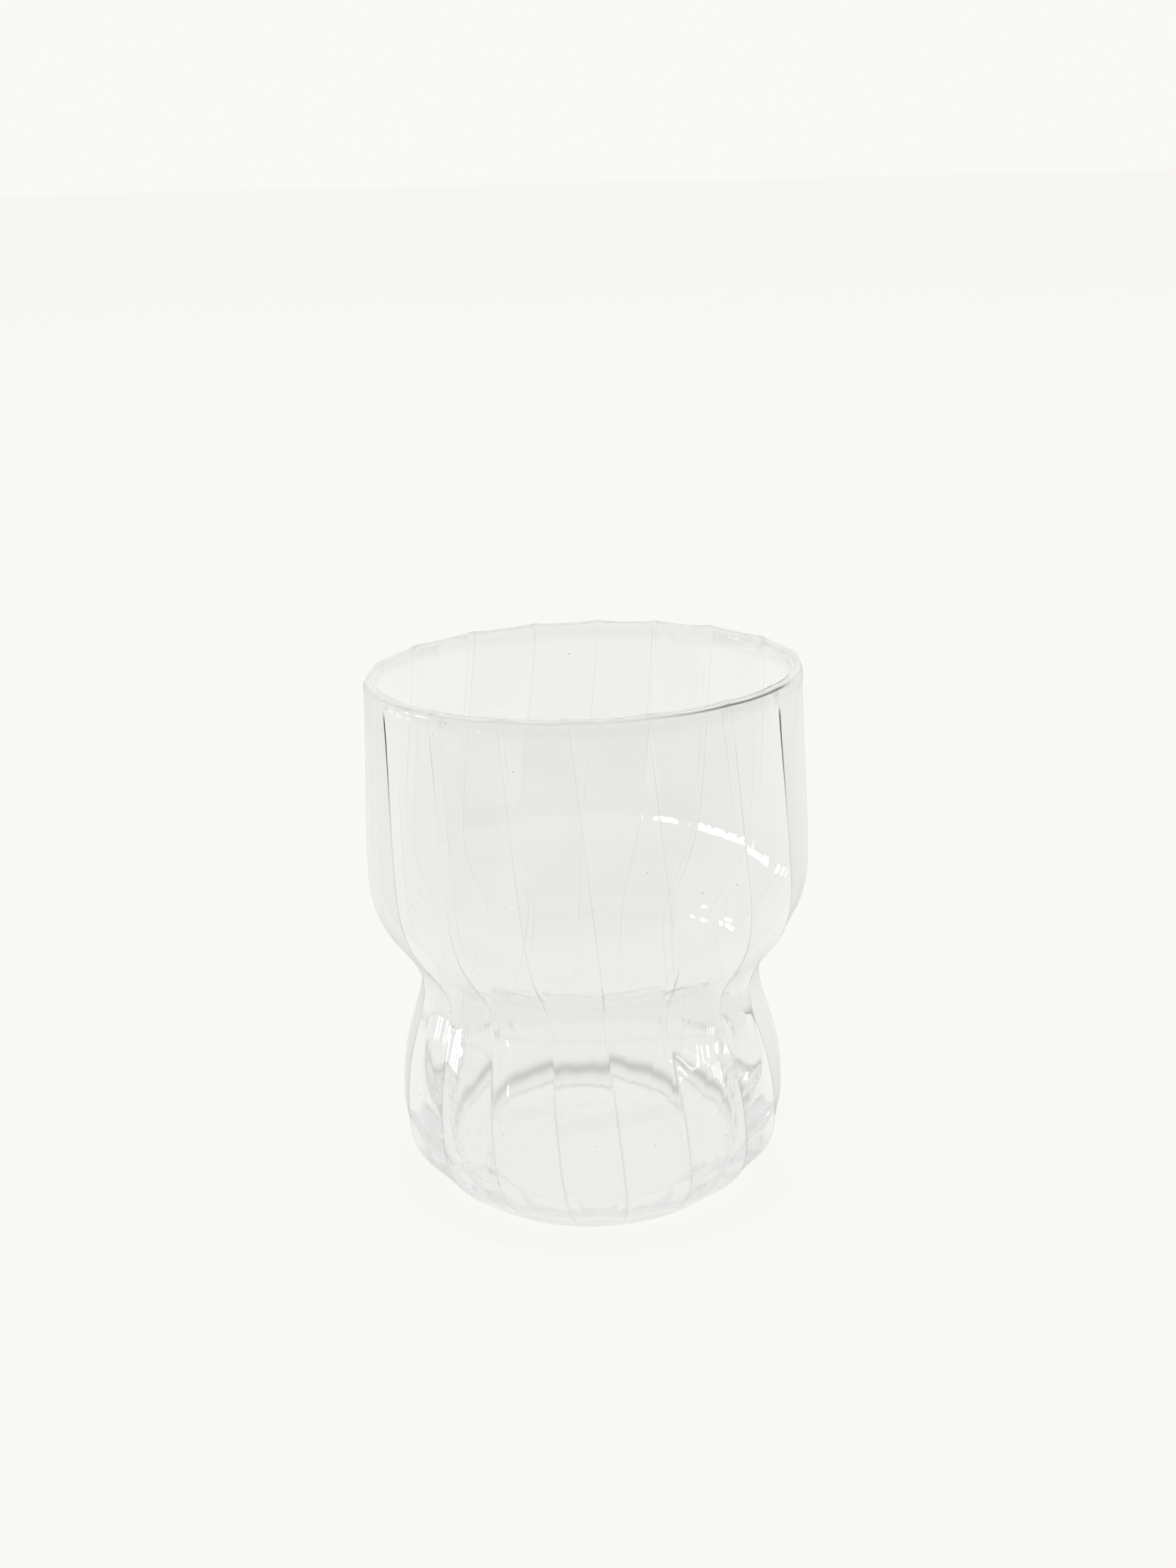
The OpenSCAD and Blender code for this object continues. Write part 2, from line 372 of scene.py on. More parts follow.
def skin_map(across, along):
    """U and V of every corner: the places across the columns and along the rows, midway at the poles."""
    left, right = across[:-1], across[1:]
    shape = (len(along) - 1, len(left), 4)
    quad_u = np.broadcast_to(np.stack([left, right, right, left], axis=-1), shape)
    quad_v = np.stack([along[:-1], along[:-1], along[1:], along[1:]], axis=-1)[:, None, :]
    fan_u = np.stack([(left + right) / 2, right, left], axis=-1)
    u = np.concatenate([quad_u.ravel(), fan_u.ravel(), fan_u[:, [2, 1, 0]].ravel()])
    ends = np.repeat([along[0], along[-1]], 3 * len(left))
    v = np.concatenate([np.broadcast_to(quad_v, shape).ravel(), ends])
    return np.stack([u, v], axis=-1)


print(f"{len(skin_faces(*points.shape[:2])[1])} faces close the grid")

# %% Closed skin of the glass


def closed_skin(name, grid, across, along):
    """Mesh object over a grid that is closed round the axis and at both ends, with a UV map in mm."""
    corners, sides = skin_faces(*grid.shape[:2])
    poles = [[0, 0, grid[0, :, 2].mean()], [0, 0, grid[-1, :, 2].mean()]]
    corner_places = np.concatenate([grid.reshape(-1, 3), poles]) * MM
    mesh = bpy.data.meshes.new(name)
    mesh.vertices.add(len(corner_places))
    mesh.vertices.foreach_set("co", corner_places.astype(np.float32).ravel())
    mesh.loops.add(len(corners))
    mesh.loops.foreach_set("vertex_index", corners.astype(np.int32))
    mesh.polygons.add(len(sides))
    mesh.polygons.foreach_set("loop_start", (np.cumsum(sides) - sides).astype(np.int32))
    mesh.update(calc_edges=True)
    mesh.validate()
    layer = mesh.uv_layers.new(name="around")
    layer.data.foreach_set("uv", skin_map(across, along).astype(np.float32).ravel())
    mesh.shade_smooth()
    piece = bpy.data.objects.new(name, mesh)
    bpy.context.scene.collection.objects.link(piece)
    return piece


flute_width = 2 * np.pi * bulb_radius / flute_count
glass = closed_skin("juice_glass", points, places * flute_width, loop_length)
triangles = sum(len(face.vertices) - 2 for face in glass.data.polygons)
print(f"glass of {triangles} triangles")

# %% [markdown]
# ## The finish
# Clear glass has almost no colour of its own. What the eye sees is what lies behind it, moved a little,
# a faint mirror image on each of its surfaces, and thin dark lines where a ridge or an edge turns the
# light aside. One Principled shader with full transmission could do all of it, but a thin fluted wall
# then throws the light about between its two faces and looks mottled. So the finish has two states:
# thick glass, which bends light, and thin wall, which lets it straight on. First come a few helpers,
# because a node tree is easier to read as sums, products and ramps than as a list of nodes.

# %% Helpers for values in a node tree


def wire(tree, value, socket):
    """Link an output to a socket, or set the socket where the value is a plain number or colour."""
    if isinstance(value, bpy.types.NodeSocket):
        tree.links.new(value, socket)
    else:
        socket.default_value = value


def math(tree, operation, first, second=0.0, clamp=True):
    """Result of a sum, product, power or other operation on two values, kept between 0 and 1 if clamped."""
    node = tree.nodes.new("ShaderNodeMath")
    node.operation = operation
    node.use_clamp = clamp
    wire(tree, first, node.inputs[0])
    wire(tree, second, node.inputs[1])
    return node.outputs["Value"]


def product(tree, first, *others):
    """All the shares multiplied."""
    for other in others:
        first = math(tree, "MULTIPLY", first, other)
    return first


def largest(tree, first, *others):
    """The largest of the shares."""
    for other in others:
        first = math(tree, "MAXIMUM", first, other)
    return first


def rest(tree, share):
    """What is left of 1 when a share is taken off."""
    return math(tree, "SUBTRACT", 1.0, share)


def ramp(tree, value, low, high):
    """0 where the value is below low and 1 where it is above high, with a smooth rise between.

    Where low is larger than high it falls instead: 1 where the value is below high, 0 where above low.
    """
    node = tree.nodes.new("ShaderNodeMapRange")
    node.interpolation_type = "SMOOTHSTEP"
    wire(tree, value, node.inputs["Value"])
    node.inputs["From Min"].default_value = low
    node.inputs["From Max"].default_value = high
    return node.outputs["Result"]


def band(tree, value, rise, fall):
    """1 between two ramps and 0 outside them: the product of a rising and a falling one."""
    return product(tree, ramp(tree, value, *rise), ramp(tree, value, *fall))


# %% Helpers for colours, shaders and places in a node tree
noise_detail = 2.0


def mixed(tree, share, first, second):
    """Colour that goes from the first to the second as the share goes from 0 to 1.

    A Mix node has sockets for each type of data. Those of colours are inputs 6 and 7 and output 2.
    """
    node = tree.nodes.new("ShaderNodeMix")
    node.data_type = "RGBA"
    wire(tree, share, node.inputs[0])
    wire(tree, first, node.inputs[6])
    wire(tree, second, node.inputs[7])
    return node.outputs[2]


def joined(tree, share, first, second):
    """Mix Shader node that goes from the first shader node to the second as the share goes from 0 to 1."""
    node = tree.nodes.new("ShaderNodeMixShader")
    wire(tree, share, node.inputs["Fac"])
    tree.links.new(first.outputs[0], node.inputs[1])
    tree.links.new(second.outputs[0], node.inputs[2])
    return node


def split(tree, vector):
    """The X, Y and Z of a vector."""
    node = tree.nodes.new("ShaderNodeSeparateXYZ")
    tree.links.new(vector, node.inputs["Vector"])
    return node.outputs["X"], node.outputs["Y"], node.outputs["Z"]


def place_in_mm(tree):
    """Object coordinates in millimetres, as a vector."""
    node = tree.nodes.new("ShaderNodeVectorMath")
    node.operation = "SCALE"
    tree.links.new(tree.nodes.new("ShaderNodeTexCoord").outputs["Object"], node.inputs["Vector"])
    node.inputs["Scale"].default_value = 1 / MM
    return node.outputs["Vector"]


def noise(tree, vector, scale, detail=noise_detail):
    """Cloudy values between 0 and 1 that change over about 1 / scale."""
    node = tree.nodes.new("ShaderNodeTexNoise")
    node.inputs["Scale"].default_value = scale
    node.inputs["Detail"].default_value = detail
    tree.links.new(vector, node.inputs["Vector"])
    return node.outputs["Fac"]


# %% [markdown]
# ### Where a point of the glass is
# Every effect below asks the same few things: how far round and along the section a point lies, how
# high it is, how edge-on it is seen, and whether the light comes from inside the glass. They are read
# once and handed on together. Together they also tell the near wall from the far one, without knowing
# where the camera is: a ray meets the near wall's outside first, and the far wall's inside first.

# %% Point of the glass
plain_blend = 0.5
lip_length = loop_length[np.argmax(loop_z)]


def glass_point(tree):
    """UV map and its two ways in mm, place in mm, facing (1 is edge-on), leaving, outer side, far wall.

    Near wall = outer and not leaving, or leaving and not outer, and far wall = 1 - near wall.
    """
    mapped = tree.nodes.new("ShaderNodeUVMap")
    mapped.uv_map = "around"
    across, along = split(tree, mapped.outputs["UV"])[:2]
    x, y, z = split(tree, place_in_mm(tree))
    edge = tree.nodes.new("ShaderNodeLayerWeight")
    edge.inputs["Blend"].default_value = plain_blend
    leaving = tree.nodes.new("ShaderNodeNewGeometry").outputs["Backfacing"]
    outer = ramp(tree, along, lip_length, lip_length - lip_height)
    came_in, goes_out = math(tree, "SUBTRACT", outer, leaving), math(tree, "SUBTRACT", leaving, outer)
    return SimpleNamespace(
        uv=mapped.outputs["UV"], across=across, along=along, x=x, y=y, z=z,
        facing=edge.outputs["Facing"], leaving=leaving, outer=outer,
        far=rest(tree, largest(tree, came_in, goes_out)),
    )


print(f"the lip's top is {lip_length:.0f} mm along the section")

# %% [markdown]
# ### Seeds and painted shade in the glass
# Each ridge bends and mirrors the light into a fine broken line, and a ridge that is seen from the side
# turns the light aside and looks grey, or nearly black close to the rim. These lines are painted shade,
# and so is a grey outline where the wall is seen edge-on. A few tiny seeds, which are bubbles that
# stayed in the glass, show as specks, and painted lines of shade round the lip stand in for the lines
# that it draws. Each could be modelled, but at about half a millimetre or less it is only a tone, so each
# is a mask on the UV map or on the facing, and a colour that the mask lays over the glass.

# %% Painted lines of shade on the ridges
# Painted shade: a fine, broken grey line on each ridge.
painted_hairline_tint = (0.85, 0.86, 0.85, 1)
hair_width, hair_patch, hair_breaks = 0.14, 25.0, (0.42, 0.62)
# Painted shade: a grey line on ridges seen from the side or on the bulb, nearly black near the rim.
groove_width, groove_core = 0.32, 0.4
painted_ridge_shade = (0.78, 0.79, 0.78, 1)
ridge_facing, ridge_bulb, ridge_end = (0.35, 0.5), (36.0, 27.0), (95.5, 93.0)
painted_ridge_black = (0.004, 0.004, 0.004, 1)
dark_rise, dark_facing = (72.0, 92.0), (0.8, 0.68)


def ridge_distance(tree, point):
    """Distance from the nearest ridge in flutes: |fraction of (across / flute width + 0.5) - 0.5|."""
    place = math(tree, "DIVIDE", point.across, flute_width, clamp=False)
    fraction = math(tree, "FRACT", math(tree, "ADD", place, 0.5, clamp=False), clamp=False)
    return math(tree, "ABSOLUTE", math(tree, "SUBTRACT", fraction, 0.5, clamp=False), clamp=False)


def painted_hairline(tree, point, distance):
    """Painted fine line of shade on each ridge, broken by patches of noise."""
    line = ramp(tree, distance, hair_width / flute_width, 0)
    return product(tree, line, ramp(tree, noise(tree, point.uv, 1 / hair_patch), *hair_breaks))


def painted_ridge_lines(tree, point, distance):
    """Painted shade on each outer ridge, seen from the side or on the bulb, and its dark part near the rim.
    """
    width = groove_width / flute_width
    groove = product(tree, ramp(tree, distance, width, groove_core * width), point.outer)
    entering = math(tree, "SUBTRACT", groove, point.leaving)
    shown = largest(tree, ramp(tree, point.facing, *ridge_facing), ramp(tree, point.z, *ridge_bulb))
    grey = product(tree, shown, ramp(tree, point.z, *ridge_end), entering)
    dark = product(tree, ramp(tree, point.z, *dark_rise), ramp(tree, point.facing, *dark_facing), grey)
    return grey, dark


print(f"grey lines {2 * groove_width:.2f} mm wide on ridges {flute_width:.1f} mm apart")

# %% Painted outline and lip lines, and seeds
# Painted shade: the outer wall turns grey where it is seen edge-on.
painted_edge_shade = (0.8, 0.81, 0.8, 1)
outline_facing = (0.94, 0.99)
# Painted shade: pale lines round the lip, and a dark painted reflection at its front right.
lip_shade_tint, lip_dark_reflection_tint = (0.88, 0.89, 0.88, 1), (0.1, 0.1, 0.1, 1)
lip_lines, line_width = (-1.1, 0.3), 0.4
line_right, line_end, line_front = (6.0, 26.0), (36.0, 33.0), (0.0, -12.0)
seed_tint = (0.25, 0.25, 0.25, 1)
seed_gap, seed_radius = 42.0, 0.2


def painted_lip_line(tree, point):
    """Mask of the painted shade lines round the lip, at set lengths from its top along the section."""
    middles = [lip_length + offset for offset in lip_lines]
    ends = [((middle - line_width, middle), (middle + line_width, middle)) for middle in middles]
    return largest(tree, *[band(tree, point.along, rise, fall) for rise, fall in ends])


def painted_lip_colour(tree, point):
    """Painted shade of the lines: pale, and dark at the front right, where the lip turns from the light."""
    to_right = band(tree, point.x, line_right, line_end)
    return mixed(tree, product(tree, to_right, ramp(tree, point.y, *line_front)), lip_shade_tint, lip_dark_reflection_tint)


def seeds(tree, point):
    """Specks at the middles of scattered cells of the UV map, one in each cell about seed_gap wide."""
    cells = tree.nodes.new("ShaderNodeTexVoronoi")
    cells.voronoi_dimensions = "2D"
    cells.inputs["Scale"].default_value = 1 / seed_gap
    tree.links.new(point.uv, cells.inputs["Vector"])
    return ramp(tree, cells.outputs["Distance"], seed_radius / seed_gap, 0)


print(f"{len(lip_lines)} lines round the lip, seeds {2 * seed_radius:.1f} mm wide")

# %% Seeds and painted shade together


def marks_and_painted_shade(tree, point):
    """Masks and colours of the seeds and the painted shade, in the order in which they lie on the glass."""
    distance = ridge_distance(tree, point)
    grey, dark = painted_ridge_lines(tree, point, distance)
    # Painted shade on the outline, where the outer wall is seen edge-on.
    outline = product(tree, ramp(tree, point.facing, *outline_facing), point.outer)
    return [
        (painted_hairline(tree, point, distance), painted_hairline_tint),
        (grey, painted_ridge_shade),
        (outline, painted_edge_shade),
        (painted_lip_line(tree, point), painted_lip_colour(tree, point)),
        (seeds(tree, point), seed_tint),
        (dark, painted_ridge_black),
    ]


def with_marks_and_shade(tree, tint, layers):
    """The tint with every seed and line of painted shade laid over it."""
    for mask, colour in layers:
        tint = mixed(tree, mask, tint, colour)
    return tint


# %% [markdown]
# ### Thick glass
# Thick glass bends light. The Principled shader with full transmission and the index of soda glass does
# that, and its tint is the faint grey-green of plain glass. The mould and the blowing leave long,
# hardly visible streaks along the ridges. They could be modelled too, but at less than a thousandth of
# a millimetre they belong in the normals: noise, stretched along the section, goes through a Bump node.

# %% Thick glass that bends light
glass_tint = (0.994, 0.997, 0.994, 1)
glass_ior = 1.5
streak_width, streak_length, streak_height = 1.6, 40.0, 4e-7


def streak_normal(tree, point):
    """Normals of long streaks: noise on (across / width, along / length), as the height of a bump."""
    squeezed = tree.nodes.new("ShaderNodeCombineXYZ")
    for value, length, name in ((point.across, streak_width, "X"), (point.along, streak_length, "Y")):
        tree.links.new(math(tree, "DIVIDE", value, length, clamp=False), squeezed.inputs[name])
    bump = tree.nodes.new("ShaderNodeBump")
    bump.inputs["Strength"].default_value = 1
    bump.inputs["Distance"].default_value = streak_height
    tree.links.new(noise(tree, squeezed.outputs["Vector"], 1), bump.inputs["Height"])
    return bump.outputs["Normal"]


def thick_glass(tree, point, layers):
    """Principled clear glass, with seeds and painted shade in its colour and the streaks in its normals."""
    shader = tree.nodes["Principled BSDF"]
    tree.links.new(with_marks_and_shade(tree, glass_tint, layers), shader.inputs["Base Color"])
    shader.inputs["Roughness"].default_value = 0.0
    shader.inputs["IOR"].default_value = glass_ior
    shader.inputs["Transmission Weight"].default_value = 1
    tree.links.new(streak_normal(tree, point), shader.inputs["Normal"])
    return shader


print(f"streaks about {streak_width} mm wide and {streak_length:.0f} mm long")

# %% [markdown]
# ### Thin wall
# A wall with two parallel faces hardly moves what is behind it, so a thin wall can let light straight
# on. What is left of the glass is a slight loss of light and the mirror image on each surface, which
# gets stronger at a glancing angle. On the hidden sides of a wall a glancing mirror image would only
# bounce about inside it, so it fades out there. The bowl is thin, the far wall is thin above the heel,
# and so are the sides of the bulb and every place that is seen edge-on. The waist, the front of the
# bulb and the base stay thick, because there the real glass folds the view. Each change from one state
# to the other is narrow, so that it passes for one of the lines in the glass.

# %% Thin wall that lets light straight on
thin_tint = (0.98, 0.983, 0.983, 1)
mirror_share, mirror_power = 0.04, 5
second_facing = (0.4, 0.6)


def thin_wall(tree, point, layers):
    """Straight light with seeds and painted shade, and a share of mirror image: 0.04 + 0.96 * facing ** 5.

    On the inside, and where light leaves the glass, that share fades out at steep angles.
    """
    straight = tree.nodes.new("ShaderNodeBsdfTransparent")
    tree.links.new(with_marks_and_shade(tree, thin_tint, layers), straight.inputs["Color"])
    gloss = tree.nodes.new("ShaderNodeBsdfGlossy")
    gloss.inputs["Roughness"].default_value = 0
    glancing = product(tree, math(tree, "POWER", point.facing, mirror_power), 1 - mirror_share)
    mirrored = math(tree, "ADD", glancing, mirror_share)
    hidden = largest(tree, point.leaving, rest(tree, point.outer))
    steep = product(tree, hidden, ramp(tree, point.facing, *second_facing))
    return joined(tree, product(tree, mirrored, rest(tree, steep)), straight, gloss)


print(f"each face of a thin wall mirrors {mirror_share:.0%} of the light that meets it squarely")

# %% Where the wall counts as thin
near_rise, far_rise = (46.0, 49.0), (18.0, 21.0)
bulb_rise, bulb_fall, bulb_facing = (10.0, 14.0), (36.0, 33.0), (0.36, 0.42)
edge_facing, base_rise = (0.57, 0.62), (5.0, 9.0)
lip_rise, lip_bend = (93.5, 96.5), 0.4


def thin_share(tree, point):
    """1 where the wall is thin: bowl, far wall, sides of the bulb, edge-on wall; a part less at the lip."""
    bowl = ramp(tree, point.z, *near_rise)
    far_wall = product(tree, ramp(tree, point.z, *far_rise), point.far)
    on_bulb = band(tree, point.z, bulb_rise, bulb_fall)
    bulb_sides = product(tree, on_bulb, ramp(tree, point.facing, *bulb_facing))
    edge_on = product(tree, ramp(tree, point.facing, *edge_facing), ramp(tree, point.z, *base_rise))
    at_lip = product(tree, ramp(tree, point.z, *lip_rise), lip_bend)
    return math(tree, "SUBTRACT", largest(tree, edge_on, bulb_sides, bowl, far_wall), at_lip)


print(f"thin above {near_rise[0]:.0f} mm on the near wall and above {far_rise[0]:.0f} mm on the far wall")

# %% [markdown]
# ### Clear glass
# Last, the lamps have to shine through. Light that is bent on its way to the floor would draw noisy
# bright patterns, so shadow rays get a plain see-through shader, which is darker where the wall is seen
# edge-on. That gives the pale shadow with darker rims that a clear glass has. The finished glass rides
# on the part's only body and takes the place of the five packed zones, which are hidden. Light that
# bounces off the floor passes it by, which keeps the floor round it even.

# %% Clear glass on the part
edge_shade = (0.05, 0.05, 0.05, 1)
edge_power = 3.0
no_shade = (1, 1, 1, 1)


def lamp_window(tree, point):
    """See-through shader for shadow rays, which goes from clear to dark as facing ** power."""
    clear = tree.nodes.new("ShaderNodeBsdfTransparent")
    grazing = math(tree, "POWER", point.facing, edge_power)
    tree.links.new(mixed(tree, grazing, no_shade, edge_shade), clear.inputs["Color"])
    return clear


def clear_glass():
    """Clear blown glass: thick where it bends light, thin where it doesn't, and see-through for lamps."""
    material = bpy.data.materials.new("clear_glass")
    material.use_nodes = True
    tree = material.node_tree
    point = glass_point(tree)
    layers = marks_and_painted_shade(tree, point)
    thick, thin = thick_glass(tree, point, layers), thin_wall(tree, point, layers)
    glassy = joined(tree, thin_share(tree, point), thick, thin)
    path = tree.nodes.new("ShaderNodeLightPath")
    whole = joined(tree, path.outputs["Is Shadow Ray"], glassy, lamp_window(tree, point))
    tree.links.new(whole.outputs["Shader"], tree.nodes["Material Output"].inputs["Surface"])
    return material


glass.data.materials.append(clear_glass())
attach(glass, "root")
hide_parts(*frame["nodes"])
glass.visible_diffuse = False
print(f"clear glass of {len(glass.active_material.node_tree.nodes)} nodes")

# %% [markdown]
# ## The studio
# The photo has a plain, pale, warm backdrop with hardly a shadow. A large lit sweep could give it, but
# then the lamps that make the backdrop pale would also light the glass too strongly. So the floor and
# the surroundings ask which kind of ray has come: the camera sees the backdrop's plain colour, glass
# sees the pale room that it bends or mirrors, and only the floor takes some of the lamps' light and
# shade. Rays that have bounced many times see one even grey, which keeps thick corners calm.

# %% Light paths
bounces, clear_bounces = 110, 40
# Depths are whole numbers, so each limit lies midway between two of them.
first_bounce, first_pass, deep_bounces = 1.5, 0.5, 4.5
deep_room = (0.82, 0.828, 0.808, 1)

scene = bpy.context.scene
scene.view_settings.view_transform = "Standard"
scene.cycles.max_bounces = bounces
scene.cycles.glossy_bounces = bounces
scene.cycles.transmission_bounces = bounces
scene.cycles.transparent_max_bounces = clear_bounces
scene.cycles.caustics_reflective = False
scene.cycles.caustics_refractive = False


def seen_by(tree):
    """Shares that say which ray has come: camera, diffuse, mirror, outer or deep.

    Mirror rays are glossy ones that glass didn't bend, at their first bounce. Outer ones passed no thin
    wall before, and deep ones bounced more than deep_bounces times.
    """
    path = tree.nodes.new("ShaderNodeLightPath").outputs
    unbent = math(tree, "SUBTRACT", path["Is Glossy Ray"], path["Is Transmission Ray"])
    return SimpleNamespace(
        camera=path["Is Camera Ray"],
        diffuse=path["Is Diffuse Ray"],
        mirror=product(tree, unbent, math(tree, "LESS_THAN", path["Ray Depth"], first_bounce)),
        outer=math(tree, "LESS_THAN", path["Transparent Depth"], first_pass),
        deep=math(tree, "GREATER_THAN", path["Ray Depth"], deep_bounces),
    )


print(f"light may bounce {bounces} times")

# %% [markdown]
# ### The floor
# The floor is one large plane, a hair below the glass. It mixes a glow, which is the colour that each
# kind of ray should see, with a matt finish that takes light and shade. Under the glass it only glows,
# so that the base stays clear. A room behind a camera is never as bright as a backdrop, so in mirror
# images the floor in front of the glass has a dark strip, and the inner surfaces mirror all of it dim.
# That is what gives the bowl its soft grey.

# %% Plane of the floor
floor_half = 30.0
floor_drop = 0.0002


def floor_plane():
    """Square of floor round the origin, floor_half out to each side."""
    ways = [(-1, -1), (1, -1), (1, 1), (-1, 1)]
    mesh = bpy.data.meshes.new("floor")
    mesh.from_pydata([(x * floor_half, y * floor_half, -floor_drop) for x, y in ways], [], [(0, 1, 2, 3)])
    plane = bpy.data.objects.new("floor", mesh)
    scene.collection.objects.link(plane)
    return plane


floor = floor_plane()
print(f"floor {2 * floor_half:.0f} m wide")

# %% Finish of the floor
backdrop = (0.956, 0.947, 0.913, 1)
through = (0.86, 0.858, 0.838, 1)
floor_colour = (0.89, 0.888, 0.867, 1)
near_room, dim_floor, strip_floor = (0.92, 0.925, 0.92, 1), (0.4, 0.405, 0.4, 1), (0.4, 0.405, 0.4, 1)
dim_front, strip_near, strip_far = (-90.0, -120.0), (-140.0, -180.0), (-360.0, -280.0)
glow_for_camera, glow_for_glass = 0.96, 0.22
under_glass = (40.0, 33.0)


def glow_share(tree, ray, place):
    """Share of glow: 0.96 for the camera, and for other rays 1 under the glass and 0.22 further out."""
    distance = tree.nodes.new("ShaderNodeVectorMath")
    distance.operation = "LENGTH"
    tree.links.new(place, distance.inputs[0])
    under = ramp(tree, distance.outputs["Value"], *under_glass)
    for_glass = math(tree, "ADD", product(tree, under, 1 - glow_for_glass), glow_for_glass)
    for_others = product(tree, for_glass, rest(tree, ray.camera))
    return math(tree, "ADD", for_others, product(tree, ray.camera, glow_for_camera))


def pale_floor():
    """Floor that the camera sees as the plain pale backdrop, with a little of the lamps' light and shade."""
    material = bpy.data.materials.new("pale_floor")
    material.use_nodes = True
    tree = material.node_tree
    tree.nodes.clear()
    ray, place = seen_by(tree), place_in_mm(tree)
    y = split(tree, place)[1]
    front = product(tree, ramp(tree, y, *dim_front), ray.mirror)
    strip = band(tree, y, strip_near, strip_far)
    mirrored = mixed(tree, ray.outer, dim_floor, mixed(tree, strip, near_room, strip_floor))
    shown = mixed(tree, ray.camera, mixed(tree, front, through, mirrored), backdrop)
    glow = tree.nodes.new("ShaderNodeEmission")
    tree.links.new(mixed(tree, ray.deep, shown, deep_room), glow.inputs["Color"])
    lit = tree.nodes.new("ShaderNodeBsdfDiffuse")
    tree.links.new(mixed(tree, front, floor_colour, mirrored), lit.inputs["Color"])
    whole = joined(tree, largest(tree, glow_share(tree, ray, place), ray.deep), lit, glow)
    output = tree.nodes.new("ShaderNodeOutputMaterial")
    tree.links.new(whole.outputs["Shader"], output.inputs["Surface"])
    return material


floor.data.materials.append(pale_floor())
print(f"pale floor of {len(floor.active_material.node_tree.nodes)} nodes")

# %% [markdown]
# ### The surroundings
# A glass needs something to mirror. The world is a pale room all round, a little dimmer high up on the
# camera's side. Mirror images of that side are dark with soft, lighter patches, as in a real room, and
# light for the outermost surface. The camera never sees the room itself, only the backdrop.

# %% Surroundings
pale_room, high_room = (0.9, 0.905, 0.89, 1), (0.6, 0.605, 0.595, 1)
dim_room, room_patch = (0.2, 0.205, 0.2, 1), (0.5, 0.505, 0.5, 1)
lit_room = (0.36, 0.36, 0.353, 1)
front_side, high_side = (0.0, -0.5), (0.2, 0.7)
patch_scale, patch_detail, patch_edges = 2.2, 1.0, (0.4, 0.65)


def studio_world():
    """Pale studio all round, dim behind the camera for mirror rays, and plain backdrop for the camera."""
    world = bpy.data.worlds.new("studio")
    scene.world = world
    world.use_nodes = True
    tree = world.node_tree
    ray = seen_by(tree)
    way = tree.nodes.new("ShaderNodeTexCoord").outputs["Generated"]
    y, z = split(tree, way)[1:]
    near_side = ramp(tree, y, *front_side)
    patches = ramp(tree, noise(tree, way, patch_scale, patch_detail), *patch_edges)
    mirrored = mixed(tree, ray.outer, mixed(tree, patches, dim_room, room_patch), near_room)
    high = product(tree, ramp(tree, z, *high_side), near_side)
    bent = mixed(tree, high, pale_room, high_room)
    room = mixed(tree, product(tree, near_side, ray.mirror), bent, mirrored)
    for_glass = mixed(tree, ray.deep, room, deep_room)
    shown = mixed(tree, ray.camera, mixed(tree, ray.diffuse, for_glass, lit_room), backdrop)
    tree.links.new(shown, tree.nodes["Background"].inputs["Color"])
    return tree


print(f"surroundings of {len(studio_world().nodes)} nodes")

# %% [markdown]
# ### The lamps
# A window with a blind stands to the left, and its panes show as short white strokes in the bowl and on
# the bulb. One wide lamp would draw one wide bar, so each pane is a small lamp of its own, placed where
# a flat panel mirrors it to the camera. These lamps are only mirrored and throw no light on the floor.
# A few narrower and fainter ones stand to the right. The light and the pale shadow come from one soft
# lamp overhead, which is not mirrored, because the room already is. Lamps stand a metre or more away,
# so their sizes are in metres.

# %% Lamps
aim_height = 0.05
pane_distance, ceiling_distance, ceiling_width = 1.0, 4.0, 0.26
window_angles = (-121, -117, -101, -97, -89.5, -86, -82.5)
right_angles = (70, 72, 74, 76)


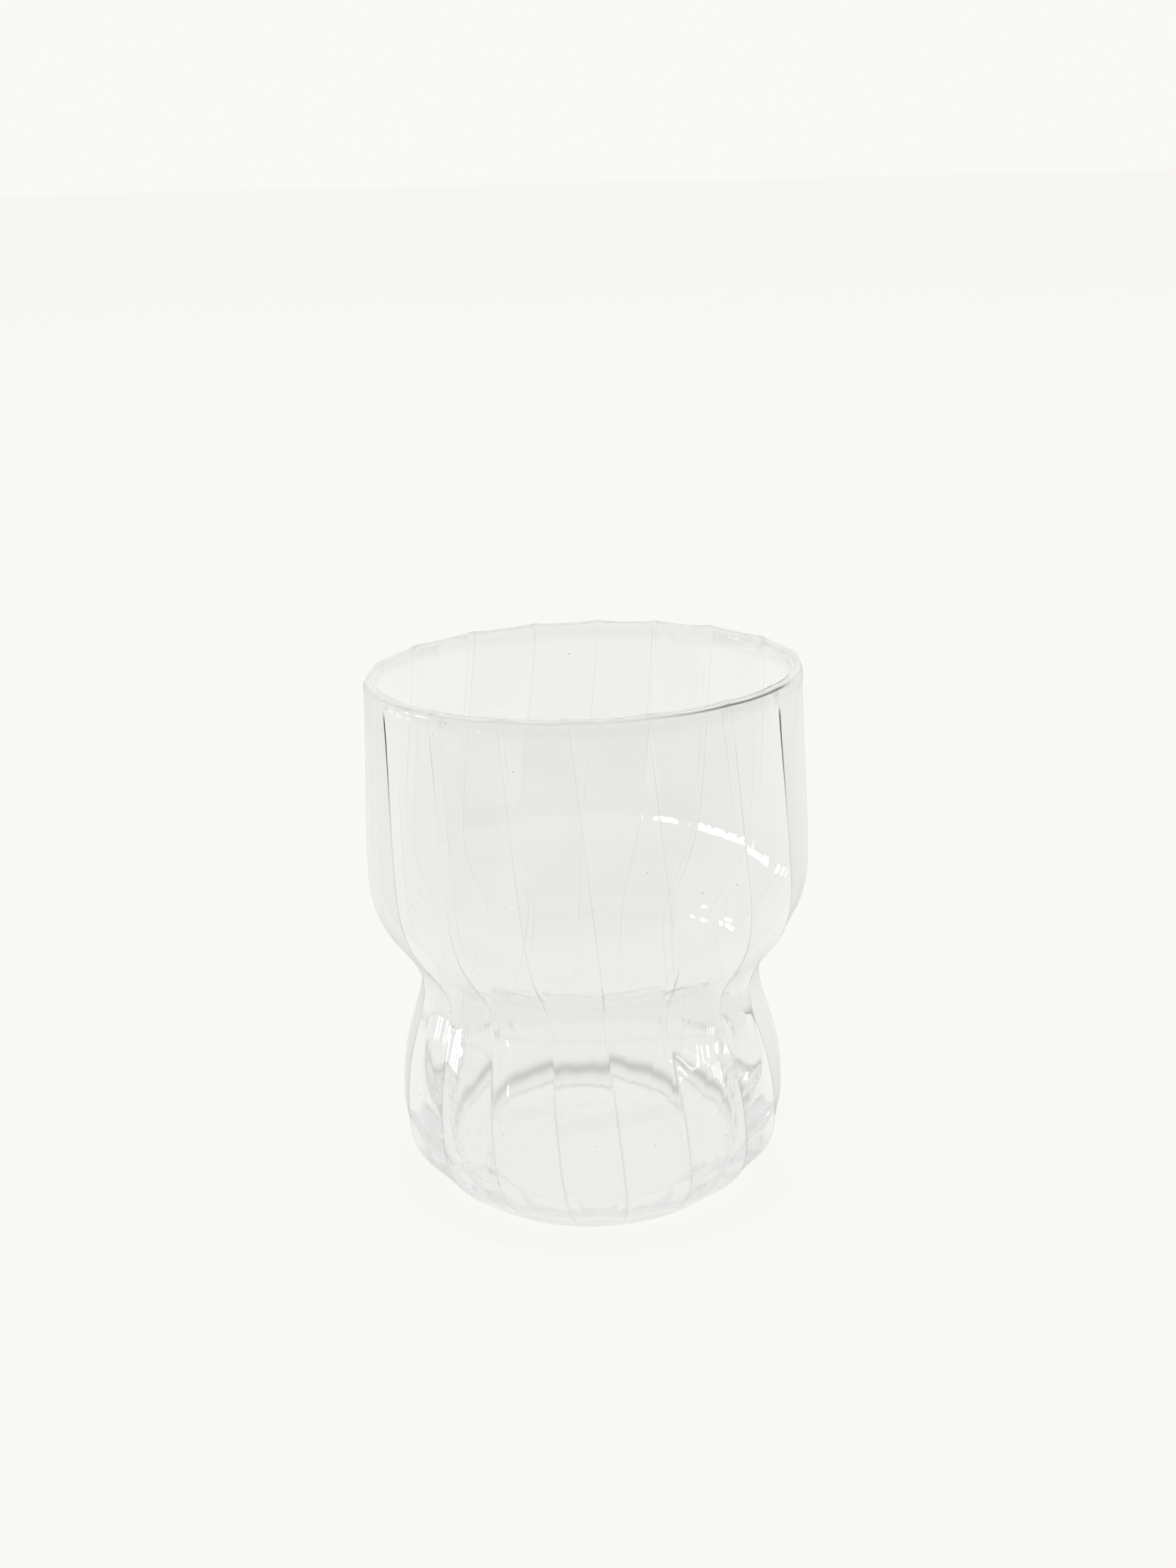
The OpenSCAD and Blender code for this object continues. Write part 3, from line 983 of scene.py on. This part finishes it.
def softbox(name, azimuth, elevation, distance, width, tall, radiance, lights=True, mirrored=True):
    """Rectangular lamp that faces the glass from an azimuth, counted from the camera towards +X.

    Its energy is its radiance * pi * width * height, so a larger lamp is as bright to look at.
    """
    lamp = bpy.data.lights.new(name, "AREA")
    lamp.shape = "RECTANGLE"
    lamp.size, lamp.size_y = width, tall
    lamp.energy = radiance * np.pi * width * tall
    box = bpy.data.objects.new(name, lamp)
    turn, lift = np.radians([azimuth, elevation])
    way = Vector((np.sin(turn) * np.cos(lift), -np.cos(turn) * np.cos(lift), np.sin(lift))) * distance
    box.location = way + Vector((0, 0, aim_height))
    box.rotation_euler = (-way).to_track_quat("-Z", "Y").to_euler()
    box.visible_camera = False
    box.visible_diffuse = lights
    box.visible_glossy = mirrored
    box.visible_transmission = mirrored
    scene.collection.objects.link(box)


softbox("window_edge", -48, 2, pane_distance, width=0.02, tall=0.07, radiance=14, lights=False)
for angle in window_angles:
    softbox("window_slat", angle, 2, pane_distance, width=0.036, tall=0.09, radiance=18, lights=False)
for angle in right_angles:
    softbox("right_slat", angle, 1.5, pane_distance, width=0.01, tall=0.06, radiance=7, lights=False)
softbox("ceiling_lamp", -12, 84.5, ceiling_distance, ceiling_width, ceiling_width, 437, mirrored=False)
print(f"{len(bpy.data.lights)} lamps")

# %% [markdown]
# ## The camera
# The camera is where the photo was taken from: a little under 40 cm from the glass and a hand's width
# above its rim, looking down. Its place and focal length could be set by eye, but the round mouth and
# base say how much perspective there is, so both were fitted to the photo's outline. The focal length
# is in pixels of the photo, and the sensor's longer side matches the photo's height.

# %% Camera
photo_tall = 2212
focal_pixels = 2945.7
sensor = 36.0
clip_near = 0.01
camera_place = (0, -362.0, 182.43)
pitch, yaw, roll = 16.404, 0.064, -1.294


def photo_camera():
    """Camera that looks down by pitch, turned by yaw about the vertical and by roll about its own axis.

    Its three axes are the level way, the way up and the way back, the first two turned by the roll.
    """
    lens = bpy.data.cameras.new("camera")
    lens.sensor_width = sensor
    lens.lens = sensor * focal_pixels / photo_tall
    lens.clip_start = clip_near
    down, side, tip = np.radians([pitch, yaw, roll])
    ahead = np.array([np.sin(side) * np.cos(down), np.cos(side) * np.cos(down), -np.sin(down)])
    level = np.cross(ahead, [0, 0, 1])
    level /= np.linalg.norm(level)
    upward = np.cross(level, ahead)
    right = np.cos(tip) * level + np.sin(tip) * upward
    top = -np.sin(tip) * level + np.cos(tip) * upward
    camera = bpy.data.objects.new("camera", lens)
    turn = Matrix(np.stack([right, top, -ahead], axis=1).tolist())
    camera.matrix_world = Matrix.Translation(Vector(camera_place) * MM) @ turn.to_4x4()
    scene.collection.objects.link(camera)
    scene.camera = camera
    return lens


print(f"camera with a {photo_camera().lens:.1f} mm lens")
